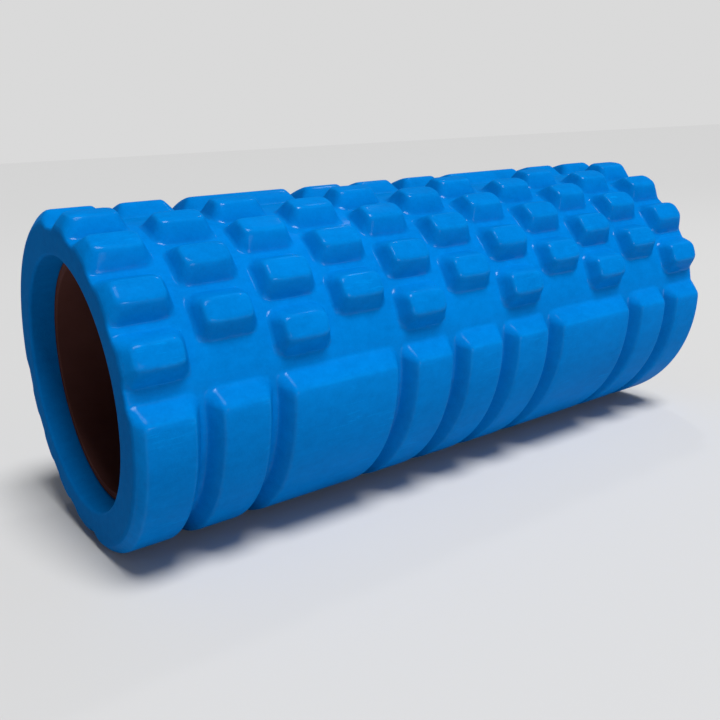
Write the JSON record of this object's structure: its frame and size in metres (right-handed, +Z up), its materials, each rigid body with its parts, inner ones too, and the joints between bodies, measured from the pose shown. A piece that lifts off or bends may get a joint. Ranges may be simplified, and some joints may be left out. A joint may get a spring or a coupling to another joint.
{
  "type": "foam roller",
  "caption": "Hollow massage roller lying on its side: a moulded foam sleeve with fields of blocks and bars, bonded to a rigid core tube.",
  "frame": {"origin": "on the surface the roller lies on, under the middle of its length and its axis", "axes": "+X along the roller's axis, +Z up, +Y level and across the roller; the roller's axis is 70.3 mm above the origin"},
  "size_m": [0.33, 0.142, 0.1406],
  "materials": {
    "foam": "satin",
    "adhesive": "satin",
    "core": "satin"
  },
  "bodies": {
    "root": {"foam_sleeve": "foam", "adhesive_film": "adhesive", "core_tube": "core"}
  },
  "joints": []
}
